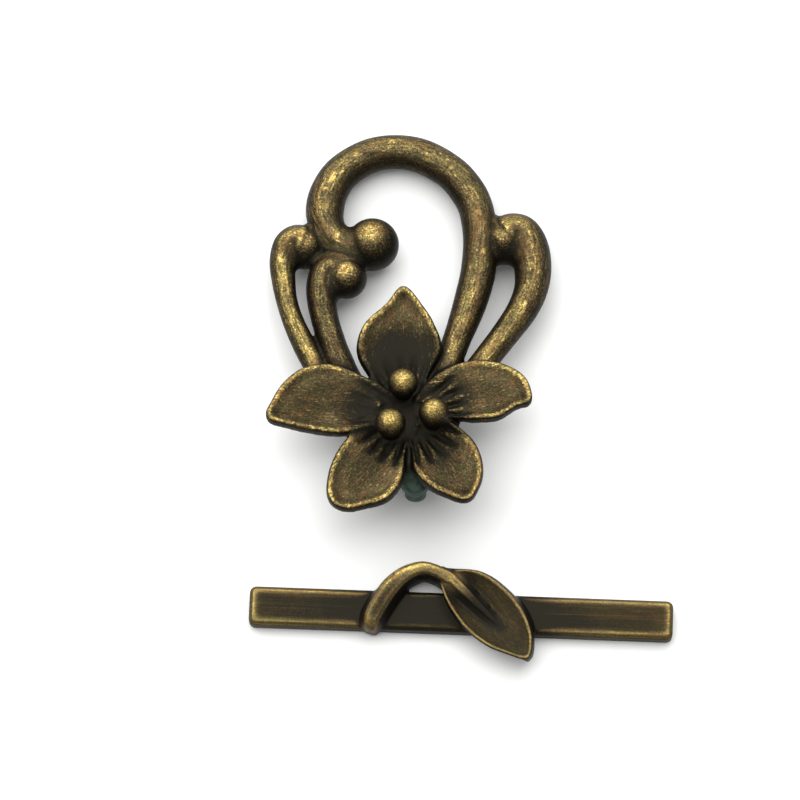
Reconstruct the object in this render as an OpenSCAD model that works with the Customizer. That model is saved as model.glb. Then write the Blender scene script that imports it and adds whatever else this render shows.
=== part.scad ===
// Toggle clasp in antique bronze: a flower with a scrolled loop, and a bar with a leaf.
// Each half is one casting. Millimetres, Z up, both halves lying apart on the surface.

/* [Flower] */
// length that the petals' shares refer to
petal_length = 11.15; // [8:0.05:14]
// height of the petals' edge wall
petal_thickness = 1.1; // [0.8:0.1:2]
// petal top at the flower's centre, over the casting's middle plane
petal_root_height = 0.55; // [0:0.05:1]
// how much lower that wall is at the tip, as a share
petal_thinning = 0.15; // [0:0.05:0.4]
// rise of a petal from its root to its tip
petal_rise = 1.95; // [0.5:0.05:3]
// depth of the dish across a petal
petal_dish = 0.45; // [0:0.05:1]
// how far the wall leans out below the petal's rim
petal_draft = 0.06; // [0:0.02:0.5]
// width of the grooves near the petals' roots
groove_width = 0.42; // [0.3:0.02:0.6]
// where the grooves start, from the flower's centre
groove_from = 2.4; // [2:0.1:3]
// where the grooves end
groove_to = 4.7; // [3.5:0.1:6]
// diameter of a stamen ball
stamen_ball = 2.55; // [2:0.05:3.5]
// diameter of the post under a ball
stamen_post = 1.6; // [1:0.1:2]
// height of the balls' centres
stamen_height = 2.4; // [1.5:0.1:3.5]
// distance of the balls from the flower's axis
stamen_spread = 2.12; // [1.5:0.02:3]
// turn of the first ball
stamen_turn = 104; // [0:1:120]

/* [Scrolled loop] */
// length of the loop above the flower's centre, to the arc's centre line
loop_length = 24; // [18:0.1:30]
// diameter that the tendrils' shares refer to
tendril_width = 2.9; // [2:0.1:4]
// height of the tendrils' centre line
tendril_height = -0.3; // [-1:0.1:1]

/* [Boss and bail] */
// radius of the disc behind the flower
boss_radius = 4.3; // [3.5:0.1:5]
// how much narrower the disc is at its back
boss_taper = 0.4; // [0:0.1:1]
// depth of the disc's back under the tendrils' centre line
boss_depth = 1.25; // [1:0.05:2]
// radius of the disc's lobe over the bail
lobe_radius = 1.2; // [1:0.1:2]
// height of that lobe
lobe_height = 1.1; // [0.8:0.1:2]
// thickness of the bail
bail_thickness = 1.8; // [1.2:0.1:3]
// outer radius of the bail
bail_radius = 1.95; // [1.6:0.05:3]
// radius of its hole
bail_hole = 1.0; // [0.6:0.05:1.3]
// how far the bail is set into the disc
bail_root = 1.2; // [0.5:0.1:1.5]

/* [Bar] */
// length of the bar
bar_length = 35; // [28:0.5:42]
// width of the bar
bar_width = 3.3; // [2:0.1:4]
// thickness of the bar
bar_thickness = 1.4; // [1:0.1:2]
// bevel round the bar's face
bar_bevel = 0.3; // [0.1:0.05:0.5]
// radius of the face's corners
bar_corner = 0.25; // [0.1:0.05:0.5]

/* [Stem and leaf] */
// length of the stem's arch along the bar, which its shares refer to
stem_span = 7.5; // [6:0.1:9]
// height of the stem's top and of the leaf's rim over the bar's back
stem_height = 2.75; // [2.5:0.05:4]
// half of the stem's width on the bar
stem_half_width = 0.84; // [0.5:0.02:1.2]
// length of the leaf
leaf_length = 10.9; // [8:0.1:13]
// depth of the dish across the leaf
leaf_dish = 0.5; // [0:0.05:0.8]
// how far the leaf's wall leans out on its upper side, and in on its lower side
leaf_lean = 0.3; // [0:0.05:0.6]
// half width of the midrib where it leaves the stem
midrib_half_width = 0.78; // [0.5:0.02:1]
// width of the grooves beside the midrib
leaf_groove_width = 0.5; // [0.3:0.05:0.7]

/* [Resting place] */
// flower's centre on the surface
ring_place = [-4.3, -2.65];
// bar's middle on the surface
bar_place = [0, -18.57];
// turn of the bar about Z
bar_turn = -2.15; // [-10:0.05:10]

/* [Hidden] */
bronze = [0.36, 0.29, 0.15];
verdigris = [0.24, 0.36, 0.30];
tube_sides = 14;
ball_sides = 20;
steps_per_row = 4;
blade_steps = 11;

// Petals: turn, length as a share, lift in millimetres, half widths to the left, to the right.
// The five widths are shares of petal_length, at the sines of 15, 30, 45, 60 and 75 degrees.
petals = [
  [ 92.6, 0.975, 0.00, [0.25, 0.370, 0.315, 0.135, 0.040], [0.14, 0.270, 0.220, 0.128, 0.045]],
  [183.4, 1.060, 0.20, [0.10, 0.145, 0.122, 0.084, 0.055], [0.27, 0.375, 0.355, 0.235, 0.080]],
  [  5.0, 0.915, 0.25, [0.32, 0.385, 0.350, 0.265, 0.155], [0.06, 0.125, 0.145, 0.076, 0.062]],
  [235.1, 0.955, 0.00, [0.16, 0.286, 0.290, 0.186, 0.098], [0.24, 0.268, 0.235, 0.166, 0.088]],
  [301.5, 0.860, 0.05, [0.27, 0.328, 0.296, 0.206, 0.084], [0.14, 0.250, 0.225, 0.141, 0.073]],
];
petal_root_width = 0.12;
groove_turns = [-30, -11, 8, 27];

// Tendril centre lines, from the flower out to the rolled end: across and along as shares of
// loop_length, radius as a share of tendril_width.
crook = [
  [0.050, 0.040, 0.36], [0.112, 0.140, 0.38], [0.167, 0.296, 0.41], [0.193, 0.369, 0.45],
  [0.217, 0.445, 0.49], [0.240, 0.538, 0.51], [0.250, 0.633, 0.51], [0.249, 0.708, 0.51],
  [0.234, 0.797, 0.51], [0.203, 0.863, 0.52], [0.148, 0.931, 0.51], [0.052, 0.991, 0.51],
  [-0.043, 1.010, 0.50], [-0.140, 0.993, 0.51], [-0.232, 0.932, 0.53], [-0.278, 0.859, 0.55],
  [-0.294, 0.789, 0.56], [-0.287, 0.727, 0.52], [-0.258, 0.674, 0.50], [-0.211, 0.641, 0.51],
  [-0.170, 0.637, 0.60], [-0.127, 0.653, 0.74],
];
crook_top = crook[12];
right_outer = [
  [0.110, 0.030, 0.36], [0.211, 0.147, 0.38], [0.293, 0.257, 0.39], [0.346, 0.331, 0.41],
  [0.394, 0.405, 0.45], [0.425, 0.482, 0.49], [0.433, 0.557, 0.54], [0.425, 0.635, 0.55],
  [0.397, 0.688, 0.57], [0.365, 0.696, 0.60], [0.343, 0.682, 0.64],
];
left_outer = [
  [-0.130, -0.010, 0.30], [-0.250, 0.052, 0.32], [-0.338, 0.222, 0.34], [-0.373, 0.294, 0.33],
  [-0.404, 0.369, 0.31], [-0.426, 0.445, 0.31], [-0.437, 0.520, 0.35], [-0.440, 0.588, 0.39],
  [-0.424, 0.643, 0.45], [-0.398, 0.661, 0.52], [-0.372, 0.653, 0.59],
];
left_inner = [
  [-0.100, 0.030, 0.36], [-0.190, 0.110, 0.40], [-0.247, 0.222, 0.42], [-0.271, 0.296, 0.40],
  [-0.292, 0.370, 0.40], [-0.304, 0.445, 0.43], [-0.302, 0.503, 0.46], [-0.284, 0.547, 0.49],
  [-0.253, 0.556, 0.50], [-0.220, 0.527, 0.57],
];
// Rolled ends: across, along and radius as above, then lift over the tendrils in millimetres.
rolled_ends = [
  [-0.127, 0.653, 0.77, 0.05], [0.338, 0.668, 0.67, -0.25], [-0.367, 0.645, 0.62, -0.25],
  [-0.218, 0.526, 0.60, 0.00],
];

// Stem: along and across the bar as shares of stem_span, half width as a share.
stem = [
  [-0.99, -0.23, 0.80], [-0.97, -0.11, 0.95], [-0.88, 0.07, 1.00], [-0.78, 0.23, 1.00],
  [-0.65, 0.36, 0.90], [-0.52, 0.43, 0.80], [-0.41, 0.45, 0.74], [-0.27, 0.41, 0.72],
  [-0.13, 0.32, 0.66],
];
// Stem section, right side of the top first: share of the half width, drop from the top.
stem_section = [[1, 0.55], [0.85, 0.2], [0.5, 0], [-0.5, 0], [-0.85, 0.2], [-1, 0.55]];
stem_foot = [1.2, -1.1];
stem_foot_height = 0.35;

// Leaf: where its root lies, as shares of stem_span, its turn, and its half widths as a petal's.
leaf_root = [-0.304, 0.46];
leaf_turn = -43;
leaf_left = [0.215, 0.262, 0.235, 0.163, 0.068];
leaf_right = [0.133, 0.180, 0.158, 0.090, 0.030];
leaf_root_width = 0.02;
leaf_sink = 0.1;
// The midrib and its grooves: stations as shares of leaf_length, and their offset to the left.
vein_offset = 0.3;
midrib_stations = [0.12, 0.22, 0.34, 0.47, 0.6, 0.7];
midrib_end = 0.75;
groove_stations = [0.22, 0.33, 0.44, 0.55, 0.68];
groove_spread = 1.15;

boss_back = tendril_height - boss_depth;
// The bail hangs under the gap between the lower petals.
bail_place = [0.55, -4.4, boss_back - 1.25];
// The ring half rests on the bail and on the loop's arc, tipped about X, with both touching.
arc_drop = crook_top[2] * tendril_width;
rest_reach = [crook_top[1] * loop_length - bail_place[1], tendril_height - bail_place[2]];
rest_tilt = atan2(rest_reach[1], rest_reach[0]) + asin((bail_radius - arc_drop) / norm(rest_reach));
rest_height = bail_radius + bail_place[1] * sin(rest_tilt) - bail_place[2] * cos(rest_tilt);

function between(a, b, c, d, t) =
  b + (c - a) * t / 2 + (2 * a - 5 * b + 4 * c - d) * t * t / 2
  + (3 * b - a - 3 * c + d) * t * t * t / 2;
function row(rows, i) = rows[max(0, min(len(rows) - 1, i))];
function smooth_row(rows, x) =
  let (i = min(floor(x), len(rows) - 2))
  between(row(rows, i - 1), row(rows, i), row(rows, i + 1), row(rows, i + 2), x - i);
function smooth_rows(rows, steps) =
  [for (k = [0 : (len(rows) - 1) * steps]) smooth_row(rows, k / steps)];
function unit2(v) = [v[0], v[1]] / norm([v[0], v[1]]);
function heading(rows, i) = unit2(row(rows, i + 1) - row(rows, i - 1));

// Joins equal rings of points into a closed skin with flat ends.
module skin(rings) {
  n = len(rings[0]);
  last = len(rings) - 1;
  points = [for (r = rings) each r];
  sides = [for (i = [0 : last - 1]) for (k = [0 : n - 1])
    let (a = i * n + k, b = i * n + (k + 1) % n) each [[a, b, b + n], [a, b + n, a + n]]];
  ends = [[for (k = [n - 1 : -1 : 0]) k], [for (k = [0 : n - 1]) last * n + k]];
  polyhedron(points, concat(sides, ends), convexity = 10);
}

module tendril(rows) {
  line = smooth_rows([for (r = rows) [r[0] * loop_length, r[1] * loop_length, r[2] * tendril_width]],
    steps_per_row);
  skin([for (i = [0 : len(line) - 1])
    let (p = line[i], h = heading(line, i))
    [for (k = [0 : tube_sides - 1])
      let (a = 360 * k / tube_sides)
      [p[0] + h[1] * p[2] * cos(a), p[1] - h[0] * p[2] * cos(a), tendril_height + p[2] * sin(a)]]]);
}

module rolled_end(row) {
  translate([row[0] * loop_length, row[1] * loop_length, tendril_height + row[3]])
    sphere(r = row[2] * tendril_width, $fn = ball_sides);
}

// Half width of a petal or leaf at the sine of angle a along it; root is the width where it starts.
function half_width(widths, root, a) =
  let (rows = concat([root], widths, [0, -widths[4]]), x = a / 15, i = min(floor(x), 5))
  max(0.006, between(row(rows, i - 1), rows[i], rows[i + 1], rows[i + 2], x - i));

// A petal or leaf: rounded tip, dished face, crowned back, and a wall that leans out on each side by
// its draft and gets lower towards the tip.
module blade(length, left, right, root, root_height, rise, dish, thickness, thinning,
    draft_left, draft_right) {
  first_angle = 3;
  last_angle = 89;
  crown = 1.08;
  across = [0.0, 0.35, 0.62, 0.8, 0.92, 1.0];
  skin([for (i = [0 : blade_steps])
    let (
      a = first_angle + (last_angle - first_angle) * i / blade_steps,
      s = sin(a),
      l = half_width(left, root, a) * length,
      r = half_width(right, root, a) * length,
      z = root_height + rise * s,
      wall_height = thickness * (1 - thinning * s * s),
      low_l = max(0.4 * l, l + draft_left),
      low_r = max(0.4 * r, r + draft_right),
      top = [for (k = [-5 : 5])
        let (side = k < 0 ? -r : l, t = across[abs(k)])
        [s * length, side * t, z + dish * (t * t - 1) * sqrt(1 - s * s * s * s)]],
      wall = [
        [s * length, (l + low_l) / 2, z - wall_height * 0.4],
        [s * length, low_l, z - wall_height],
        [s * length, 0, z - wall_height * crown],
        [s * length, -low_r, z - wall_height],
        [s * length, -(r + low_r) / 2, z - wall_height * 0.4],
      ])
    concat(top, wall)]);
}

module petal(row) {
  rotate([0, 0, row[0]])
    blade(row[1] * petal_length, row[3], row[4], petal_root_width, petal_root_height + row[2],
      petal_rise, petal_dish, petal_thickness, petal_thinning, petal_draft, petal_draft);
}

// Grooves that fan out over a petal from its root, and run out at their far ends.
module grooves(row) {
  for (turn = groove_turns)
    rotate([0, 0, row[0] + turn])
      hull() {
        for (end = [groove_from, groove_to])
          translate([end, 0, petal_root_height + row[2] + petal_rise * end / petal_length
            + groove_width * (end == groove_to ? 0.45 : 0)])
            sphere(d = groove_width, $fn = 8);
      }
}

module stamens() {
  for (k = [0 : 2])
    rotate([0, 0, stamen_turn + 120 * k])
      translate([stamen_spread, 0, 0]) {
        translate([0, 0, stamen_height])
          sphere(d = stamen_ball, $fn = ball_sides);
        cylinder(h = stamen_height, d = stamen_post, $fn = ball_sides);
      }
}

// Plain disc behind the flower, which the petals, tendrils and bail grow out of.
module boss() {
  hull() {
    translate([0, 0, boss_back])
      cylinder(h = petal_root_height - 0.1 - boss_back, r1 = boss_radius - boss_taper,
        r2 = boss_radius, $fn = 36);
    translate([bail_place[0], bail_place[1] - lobe_radius * 0.8, boss_back])
      cylinder(h = lobe_height, r = lobe_radius, $fn = 24);
  }
}

module ring_casting() {
  color(bronze) {
    for (rows = [crook, right_outer, left_outer, left_inner]) tendril(rows);
    for (row = rolled_ends) rolled_end(row);
    boss();
    difference() {
      for (row = petals) petal(row);
      for (row = petals) grooves(row);
    }
    stamens();
  }
}

// The lug that hangs from the boss, with a round hole for the end ring of the strand.
module back_bail() {
  neck = boss_back - bail_place[2] + bail_root;
  color(verdigris)
    translate(bail_place)
      rotate([0, 90, 0])
        difference() {
          union() {
            cylinder(h = bail_thickness, r = bail_radius, center = true, $fn = 64);
            translate([-neck, -bail_radius, -bail_thickness / 2])
              cube([neck, bail_radius * 2, bail_thickness]);
          }
          cylinder(h = bail_thickness * 2, r = bail_hole, center = true, $fn = 64);
        }
}

module resting_ring() {
  translate([ring_place[0], ring_place[1], rest_height]) rotate([-rest_tilt, 0, 0]) children();
}

module bar() {
  inset = bar_bevel + bar_corner;
  hull()
    for (x = [-1, 1], y = [-1, 1])
      translate([x * (bar_length / 2 - inset), y * (bar_width / 2 - inset), 0]) {
        cylinder(h = bar_thickness - bar_bevel, r = inset, $fn = 16);
        cylinder(h = bar_thickness, r = bar_corner, $fn = 16);
      }
}

// Flat-topped ribbon that rises from the bar and arches over to the leaf.
module arched_stem() {
  line = smooth_rows([for (r = stem) [r[0] * stem_span, r[1] * stem_span, r[2] * stem_half_width]],
    steps_per_row);
  section = concat([[stem_foot[0], stem_foot_height]],
    [for (c = stem_section) [c[0], stem_height - c[1]]],
    [[stem_foot[1], stem_foot_height]]);
  skin([for (i = [0 : len(line) - 1])
    let (p = line[i], h = heading(line, i))
    [for (c = section) [p[0] + h[1] * p[2] * c[0], p[1] - h[0] * p[2] * c[0], c[1]]]]);
}

module leaf() {
  translate([leaf_root[0] * stem_span, leaf_root[1] * stem_span, 0])
    rotate([0, 0, leaf_turn]) {
      difference() {
        blade(leaf_length, leaf_left, leaf_right, leaf_root_width, stem_height, 0, leaf_dish,
          stem_height - bar_thickness + leaf_sink, 0, leaf_lean, -leaf_lean);
        for (side = [-1, 1]) leaf_groove(side);
      }
      midrib();
    }
}

// Groove beside the midrib, closing in towards the tip.
module leaf_groove(side) {
  for (i = [0 : len(groove_stations) - 2])
    hull()
      for (s = [groove_stations[i], groove_stations[i + 1]])
        translate([s * leaf_length, vein_offset + side * groove_spread * (1 - s),
          stem_height - leaf_dish * 0.75])
          sphere(d = leaf_groove_width, $fn = 8);
}

// Raised vein that carries on from the stem and sinks into the leaf.
module midrib() {
  section = [[-1, -1.08], [-1, -0.31], [-0.45, 0], [0.45, 0], [1, -0.31], [1, -1.08]];
  skin([for (s = midrib_stations)
    let (w = midrib_half_width * (1 - s / midrib_end), top = stem_height + 0.1 - 0.6 * s * s)
    [for (c = section) [s * leaf_length, vein_offset + c[0] * w, top + c[1]]]]);
}

module bar_casting() {
  color(bronze) {
    bar();
    arched_stem();
    leaf();
  }
}

module resting_bar() {
  translate([bar_place[0], bar_place[1], 0]) rotate([0, 0, bar_turn]) children();
}

resting_ring() ring_casting();  // flower_ring
resting_ring() back_bail();  // flower_ring
resting_bar() bar_casting();  // leaf_bar
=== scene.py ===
import math

import bmesh
import bpy
import numpy as np
from mathutils import Matrix, Vector


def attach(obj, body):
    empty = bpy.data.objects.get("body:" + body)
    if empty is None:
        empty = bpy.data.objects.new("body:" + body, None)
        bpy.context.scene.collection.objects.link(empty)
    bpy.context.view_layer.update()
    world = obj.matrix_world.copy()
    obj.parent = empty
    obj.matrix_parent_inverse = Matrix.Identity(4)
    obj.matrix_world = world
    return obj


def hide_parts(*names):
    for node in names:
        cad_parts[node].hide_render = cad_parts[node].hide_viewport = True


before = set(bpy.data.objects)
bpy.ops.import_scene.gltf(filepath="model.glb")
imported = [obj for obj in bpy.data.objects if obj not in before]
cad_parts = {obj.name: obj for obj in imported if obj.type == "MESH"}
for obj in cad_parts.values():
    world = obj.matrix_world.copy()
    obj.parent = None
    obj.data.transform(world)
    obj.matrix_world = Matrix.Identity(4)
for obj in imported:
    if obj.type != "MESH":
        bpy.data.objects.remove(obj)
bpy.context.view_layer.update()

# The white sheet and the light
# The clasp lies on matt white card under one wide soft box, which hangs above and behind it, a
# little to the left, in a dim room. The camera stands on the bar's side, 74 degrees above the card.
MM = 0.001
VIEW_ANGLE = math.radians(74)
VIEW_DISTANCE = 450.0
VIEW_WIDTH = 66.95
VIEW_CENTRE = Vector((-5.04, 0.04, 0.0))
VIEW_NEAR = 10.0
VIEW_FAR = 10000.0
CARD_SIZE = 1600.0
CARD_WHITE = "#ebebea"
CARD_ROUGHNESS = 0.9
ROOM_WHITE = "#ffffff"
ROOM_STRENGTH = 0.6
SOFT_BOX_PLACE = Vector((-90.0, 290.0, 480.0))
SOFT_BOX_SIZE = (1000.0, 900.0)
SOFT_BOX_WATTS = 8.0


def linear(hex_colour):
    """An sRGB hex colour as linear red, green and blue, with alpha."""
    channels = [int(hex_colour[k:k + 2], 16) / 255 for k in (1, 3, 5)]
    return [c / 12.92 if c <= 0.04045 else ((c + 0.055) / 1.055) ** 2.4 for c in channels] + [1.0]


def add_node(tree, kind, settings=None, inputs=None):
    """Adds a node with its settings, and fills or links its inputs.

    An input may be a number, a socket, or a node, which stands for its first output.
    """
    node = tree.nodes.new(kind)
    for key, value in (settings or {}).items():
        setattr(node, key, value)
    for key, value in (inputs or {}).items():
        if isinstance(value, bpy.types.Node):
            value = value.outputs[0]
        if isinstance(value, bpy.types.NodeSocket):
            tree.links.new(value, node.inputs[key])
        else:
            node.inputs[key].default_value = value
    return node


def new_material(name):
    """An empty material with its shader and output, which are returned with its tree."""
    material = bpy.data.materials.new(name)
    material.use_nodes = True
    tree = material.node_tree
    tree.nodes.clear()
    shader = add_node(tree, "ShaderNodeBsdfPrincipled")
    add_node(tree, "ShaderNodeOutputMaterial", inputs={"Surface": shader})
    return material, tree, shader


def place_light(name, place, size, watts):
    """A rectangular soft box that faces the middle of the view."""
    light = bpy.data.lights.new(name, "AREA")
    light.shape = "RECTANGLE"
    light.size, light.size_y = size[0] * MM, size[1] * MM
    light.energy = watts
    lamp = bpy.data.objects.new(name, light)
    lamp.location = place * MM
    lamp.rotation_mode = "QUATERNION"
    lamp.rotation_quaternion = (place - VIEW_CENTRE).to_track_quat("Z", "Y")
    bpy.context.scene.collection.objects.link(lamp)


camera_data = bpy.data.cameras.new("camera")
camera_data.lens = camera_data.sensor_width * VIEW_DISTANCE / VIEW_WIDTH
camera_data.clip_start, camera_data.clip_end = VIEW_NEAR * MM, VIEW_FAR * MM
camera = bpy.data.objects.new("camera", camera_data)
to_camera = Vector((0.0, -math.cos(VIEW_ANGLE), math.sin(VIEW_ANGLE)))
camera.location = (VIEW_CENTRE + to_camera * VIEW_DISTANCE) * MM
camera.rotation_euler = (math.pi / 2 - VIEW_ANGLE, 0.0, 0.0)
bpy.context.scene.collection.objects.link(camera)
bpy.context.scene.camera = camera
bpy.context.scene.view_settings.view_transform = "Standard"

world = bpy.data.worlds.new("pale room")
world.use_nodes = True
world.node_tree.nodes["Background"].inputs["Color"].default_value = linear(ROOM_WHITE)
world.node_tree.nodes["Background"].inputs["Strength"].default_value = ROOM_STRENGTH
bpy.context.scene.world = world
place_light("soft box", SOFT_BOX_PLACE, SOFT_BOX_SIZE, SOFT_BOX_WATTS)

card_material, _, card_shader = new_material("matt_white_card")
card_shader.inputs["Base Color"].default_value = linear(CARD_WHITE)
card_shader.inputs["Roughness"].default_value = CARD_ROUGHNESS
card_mesh = bpy.data.meshes.new("card")
half_card = CARD_SIZE / 2 * MM
card_mesh.from_pydata(
    [(-half_card, -half_card, 0), (half_card, -half_card, 0), (half_card, half_card, 0),
     (-half_card, half_card, 0)], [], [(0, 1, 2, 3)])
card_mesh.materials.append(card_material)
card = bpy.data.objects.new("card", card_mesh)
bpy.context.scene.collection.objects.link(card)

# The scrolled loop
# Four cast tendrils grow out of the flower. The longest turns over into the crook that the bar goes
# through. Each is a round rod along a smooth line that thickens and thins, with a ball at its end.
LOOP_LENGTH = 24.0
TENDRIL_WIDTH = 2.9
TENDRIL_HEIGHT = -0.3
ROD_SIDES = 40
ROD_STEPS = 10
BALL_SEGMENTS = 48
BALL_RINGS = 24
# how much more the loop is rubbed than a flat face, and its sheltered inner tendril less
LOOP_RUB = 0.1
SHELTERED_RUB = -0.08
# the rolled ends get a painted highlight, over their wear, where they face this way, towards the
# soft box, and painted shade underneath; a rod takes that up within this many millimetres of
# its end
LIT_SIDE_WAY = Vector((-0.15, 0.42, 0.9))
END_LIT_FACING = (0.6, 0.95)
END_HIGHLIGHT_AND_SHADE = (-0.3, 0.18)
END_REACH = 4.5
# metal has run into the crease between a rod and its ball: wholly up to the first of these
# distances from the rod's end, and no more from the second. Beside the ball's middle it is this
# share, with more towards the rod that comes in.
END_MELT = (2.6, 4.2)
BALL_MELT = 0.6
# the row of a rod's table, counted from its end, that says where the rod comes from
BALL_ROW = -4
LOOP_SPECKLE = 1.3
# brush marks run along the rods: a millimetre along one is only this much of their pattern
GRAIN_STRETCH = 0.13
# across and along as shares of LOOP_LENGTH, radius as a share of TENDRIL_WIDTH
CROOK = [
    (0.050, 0.040, 0.36), (0.112, 0.140, 0.38), (0.167, 0.296, 0.41), (0.193, 0.369, 0.45),
    (0.217, 0.445, 0.49), (0.240, 0.538, 0.51), (0.250, 0.633, 0.51), (0.249, 0.708, 0.51),
    (0.234, 0.797, 0.51), (0.203, 0.863, 0.52), (0.148, 0.931, 0.51), (0.052, 0.991, 0.51),
    (-0.043, 1.010, 0.50), (-0.140, 0.993, 0.51), (-0.232, 0.932, 0.53), (-0.278, 0.859, 0.55),
    (-0.294, 0.789, 0.56), (-0.287, 0.727, 0.52), (-0.258, 0.674, 0.50), (-0.211, 0.641, 0.51),
    (-0.170, 0.637, 0.60), (-0.127, 0.653, 0.74),
]
CROOK_TOP = max(CROOK, key=lambda row: row[1])
RIGHT_OUTER = [
    (0.110, 0.030, 0.36), (0.211, 0.147, 0.38), (0.293, 0.257, 0.39), (0.346, 0.331, 0.41),
    (0.394, 0.405, 0.45), (0.425, 0.482, 0.49), (0.433, 0.557, 0.54), (0.425, 0.635, 0.55),
    (0.397, 0.688, 0.57), (0.365, 0.696, 0.60), (0.343, 0.682, 0.64),
]
LEFT_OUTER = [
    (-0.130, -0.010, 0.30), (-0.250, 0.052, 0.32), (-0.338, 0.222, 0.34), (-0.373, 0.294, 0.33),
    (-0.404, 0.369, 0.31), (-0.426, 0.445, 0.31), (-0.437, 0.520, 0.35), (-0.440, 0.588, 0.39),
    (-0.424, 0.643, 0.45), (-0.398, 0.661, 0.52), (-0.372, 0.653, 0.59),
]
LEFT_INNER = [
    (-0.100, 0.030, 0.36), (-0.190, 0.110, 0.40), (-0.247, 0.222, 0.42), (-0.271, 0.296, 0.40),
    (-0.292, 0.370, 0.40), (-0.304, 0.445, 0.43), (-0.302, 0.503, 0.46), (-0.284, 0.547, 0.49),
    (-0.253, 0.556, 0.50), (-0.220, 0.527, 0.57),
]
# across, along and radius as above, then lift over the tendrils in millimetres
ROLLED_ENDS = [
    (-0.127, 0.653, 0.77, 0.05), (0.338, 0.668, 0.67, -0.25), (-0.367, 0.645, 0.62, -0.25),
    (-0.218, 0.526, 0.60, 0.00),
]


def with_marks(made, key, values):
    """Stores one value a point under a name."""
    made.data.attributes.new(key, "FLOAT", "POINT").data.foreach_set("value", list(values))
    return made


def new_object(name, points, edges=(), faces=(), **marks):
    """A mesh object, linked to the scene, with marks on its points."""
    mesh = bpy.data.meshes.new(name)
    mesh.from_pydata([tuple(p) for p in points], list(edges), list(faces))
    made = bpy.data.objects.new(name, mesh)
    for key, values in marks.items():
        with_marks(made, key, values)
    bpy.context.scene.collection.objects.link(made)
    return made


def marked(made, **marks):
    """Stores the same values on all points of a part."""
    for key, value in marks.items():
        with_marks(made, key, [value] * len(made.data.vertices))
    return made


def new_tree(name, numbers):
    """A Geometry Nodes tree with a geometry input and output, and named number inputs."""
    tree = bpy.data.node_groups.new(name, "GeometryNodeTree")
    tree.interface.new_socket("Geometry", in_out="OUTPUT", socket_type="NodeSocketGeometry")
    tree.interface.new_socket("Geometry", in_out="INPUT", socket_type="NodeSocketGeometry")
    for key, value in numbers.items():
        kind = "NodeSocketInt" if isinstance(value, int) else "NodeSocketFloat"
        tree.interface.new_socket(key, in_out="INPUT", socket_type=kind).default_value = value
    return tree, add_node(tree, "NodeGroupInput"), add_node(tree, "NodeGroupOutput")


def finish_tree(tree, geometry, output):
    """Ends a tree in Realize Instances and Set Material, as its last two steps."""
    real = add_node(tree, "GeometryNodeRealizeInstances", inputs={"Geometry": geometry})
    painted = add_node(tree, "GeometryNodeSetMaterial", inputs={"Geometry": real})
    tree.interface.new_socket("Material", in_out="INPUT", socket_type="NodeSocketMaterial")
    source = next(node for node in tree.nodes if node.type == "GROUP_INPUT")
    tree.links.new(source.outputs["Material"], painted.inputs["Material"])
    tree.links.new(painted.outputs[0], output.inputs[0])


def grown(made, tree, **inputs):
    """Runs a Geometry Nodes tree on an object and keeps the result as its plain mesh."""
    modifier = made.modifiers.new(tree.name, "NODES")
    modifier.node_group = tree
    for item in tree.interface.items_tree:
        if item.in_out == "INPUT" and item.name in inputs:
            modifier[item.identifier] = inputs[item.name]
    result = bpy.data.meshes.new_from_object(
        made.evaluated_get(bpy.context.evaluated_depsgraph_get()))
    made.modifiers.remove(modifier)
    old, made.data = made.data, result
    bpy.data.meshes.remove(old)
    return made


def rod_tree():
    """A line of points swept into a round rod of the half width stored on each point."""
    tree, source, output = new_tree(
        "cast rod", {"Sides": ROD_SIDES, "Steps": ROD_STEPS, "Grain Stretch": GRAIN_STRETCH})
    line = add_node(tree, "GeometryNodeMeshToCurve", inputs={"Mesh": source.outputs["Geometry"]})
    smooth = add_node(tree, "GeometryNodeCurveSplineType", {"spline_type": "CATMULL_ROM"},
                      {"Curve": line})
    fine = add_node(tree, "GeometryNodeSetSplineResolution",
                    inputs={"Geometry": smooth, "Resolution": source.outputs["Steps"]})
    ring = add_node(tree, "GeometryNodeCurvePrimitiveCircle",
                    inputs={"Resolution": source.outputs["Sides"], "Radius": 1.0})
    spot = add_node(tree, "GeometryNodeSplineParameter")
    path = add_node(tree, "GeometryNodeStoreNamedAttribute", {"data_type": "FLOAT"},
                    {"Geometry": fine, "Name": "along", "Value": spot.outputs["Length"]})
    place = add_node(tree, "GeometryNodeInputPosition")
    profile = add_node(tree, "GeometryNodeStoreNamedAttribute", {"data_type": "FLOAT_VECTOR"},
                       {"Geometry": ring, "Name": "section", "Value": place})
    width, along, section = [
        add_node(tree, "GeometryNodeInputNamedAttribute", {"data_type": kind}, {"Name": name})
        for kind, name in (("FLOAT", "half_width"), ("FLOAT", "along"), ("FLOAT_VECTOR", "section"))
    ]
    rod = add_node(tree, "GeometryNodeCurveToMesh", inputs={
        "Curve": path, "Profile Curve": profile, "Scale": width, "Fill Caps": True})
    across = add_node(tree, "ShaderNodeVectorMath", {"operation": "SCALE"},
                      {0: section, "Scale": width})
    ahead = add_node(tree, "ShaderNodeMath", {"operation": "MULTIPLY"},
                     {0: along, 1: source.outputs["Grain Stretch"]})
    axis = add_node(tree, "ShaderNodeCombineXYZ", inputs={"Z": ahead})
    grain = add_node(tree, "ShaderNodeVectorMath", {"operation": "ADD"}, {0: across, 1: axis})
    brushed = add_node(tree, "GeometryNodeStoreNamedAttribute", {"data_type": "FLOAT_VECTOR"},
                       {"Geometry": rod, "Name": "grain", "Value": grain})
    finish_tree(tree, brushed, output)
    return tree


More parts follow.
